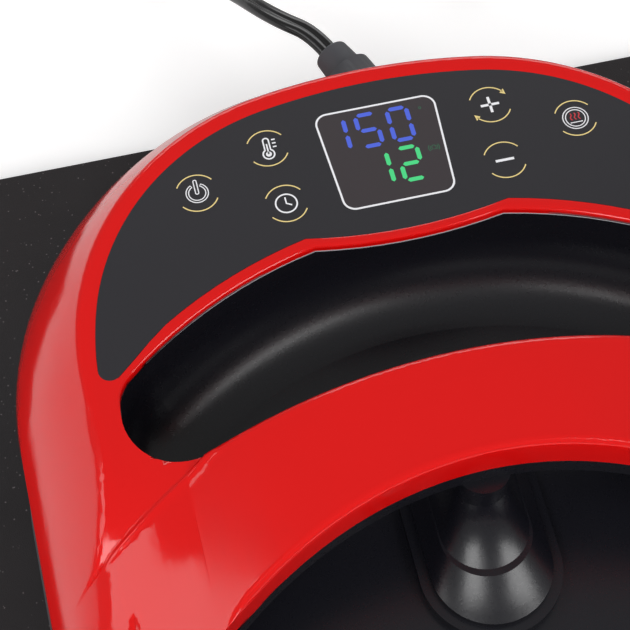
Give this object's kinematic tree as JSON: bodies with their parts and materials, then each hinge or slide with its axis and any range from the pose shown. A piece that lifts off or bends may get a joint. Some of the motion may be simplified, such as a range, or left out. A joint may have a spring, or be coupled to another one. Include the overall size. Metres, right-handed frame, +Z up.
{
  "type": "manual heat press",
  "caption": "Hand-held heat press with a bridge handle over an open well, a curved touch panel with a display, a flat heated plate, a mains lead and a foam pressing pad.",
  "frame": {"origin": "centre of the pressing pad's underside, on the table", "axes": "+X to the operator's right, +Y to the back edge with the mains lead, +Z up"},
  "size_m": [0.38, 0.5627, 0.1137],
  "materials": {
    "foam": "matte woven face over dense foam",
    "red_shell": "glossy red",
    "black_gloss": "glossy black",
    "black_satin": "satin black",
    "overlay": "fine matte charcoal film",
    "lens": "smoked clear",
    "cast_plate": "dark non-stick coat",
    "steel": "bright zinc",
    "element": "heat-tinted sheath",
    "wool": "white fibre",
    "brass": "plain",
    "board": "green board",
    "part_black": "moulded",
    "key_white": "moulded",
    "copper": "enamelled wire",
    "cord": "smooth black",
    "boot": "matte dark grey",
    "leads": "heat-proof sleeve"
  },
  "bodies": {
    "pad": {"pressing_pad": "foam", "cord_coil": "cord", "cord_end": "cord", "mains_plug": "boot", "plug_blades": "brass"},
    "press": {"heat_plate": "cast_plate", "heating_element": "element", "insulation_blanket": "wool", "heat_shield": "steel", "thermal_cutout": "steel", "temperature_sensor": "brass", "sensor_clip": "steel", "lower_housing": "black_satin", "inner_tub": "black_gloss", "centre_neck": "black_gloss", "upper_shell": "red_shell", "handle_underside": "black_gloss", "panel_overlay": "overlay", "display_window": "lens", "display_module": "part_black", "control_board": "board", "switch_housings": "part_black", "buzzer": "part_black", "control_screws": "steel", "power_board": "board", "relay": "key_white", "mains_cores": "leads", "transformer_core": "element", "transformer_winding": "copper", "terminal_block": "key_white", "power_board_screws": "steel", "shell_screws": "steel", "neck_screws": "steel", "plate_screws": "steel", "cord_boot": "boot", "cord_inner": "cord", "heater_leads": "leads", "ribbon_cable": "key_white", "cord_run": "cord"},
    "power_button": {"power_key": "key_white", "power_switch_button": "part_black"},
    "temp_button": {"temp_key": "key_white", "temp_switch_button": "part_black"},
    "timer_button": {"timer_key": "key_white", "timer_switch_button": "part_black"},
    "plus_button": {"plus_key": "key_white", "plus_switch_button": "part_black"},
    "minus_button": {"minus_key": "key_white", "minus_switch_button": "part_black"},
    "heat_button": {"heat_key": "key_white", "heat_switch_button": "part_black"}
  },
  "joints": [
    {"name": "press_lift", "type": "slide", "parent": "pad", "child": "press", "axis": [0, 0, 1], "range_m": [0, 0.08]},
    {"name": "power_button_press", "type": "slide", "parent": "press", "child": "power_button", "axis": [0, 0, -1], "range_m": [0, 0.0003], "stiffness_N_per_m": 4000, "springref_m": -0.0002},
    {"name": "temp_button_press", "type": "slide", "parent": "press", "child": "temp_button", "axis": [0, 0, -1], "range_m": [0, 0.0003], "stiffness_N_per_m": 4000, "springref_m": -0.0002},
    {"name": "timer_button_press", "type": "slide", "parent": "press", "child": "timer_button", "axis": [0, 0, -1], "range_m": [0, 0.0003], "stiffness_N_per_m": 4000, "springref_m": -0.0002},
    {"name": "plus_button_press", "type": "slide", "parent": "press", "child": "plus_button", "axis": [0, 0, -1], "range_m": [0, 0.0003], "stiffness_N_per_m": 4000, "springref_m": -0.0002},
    {"name": "minus_button_press", "type": "slide", "parent": "press", "child": "minus_button", "axis": [0, 0, -1], "range_m": [0, 0.0003], "stiffness_N_per_m": 4000, "springref_m": -0.0002},
    {"name": "heat_button_press", "type": "slide", "parent": "press", "child": "heat_button", "axis": [0, 0, -1], "range_m": [0, 0.0003], "stiffness_N_per_m": 4000, "springref_m": -0.0002}
  ]
}
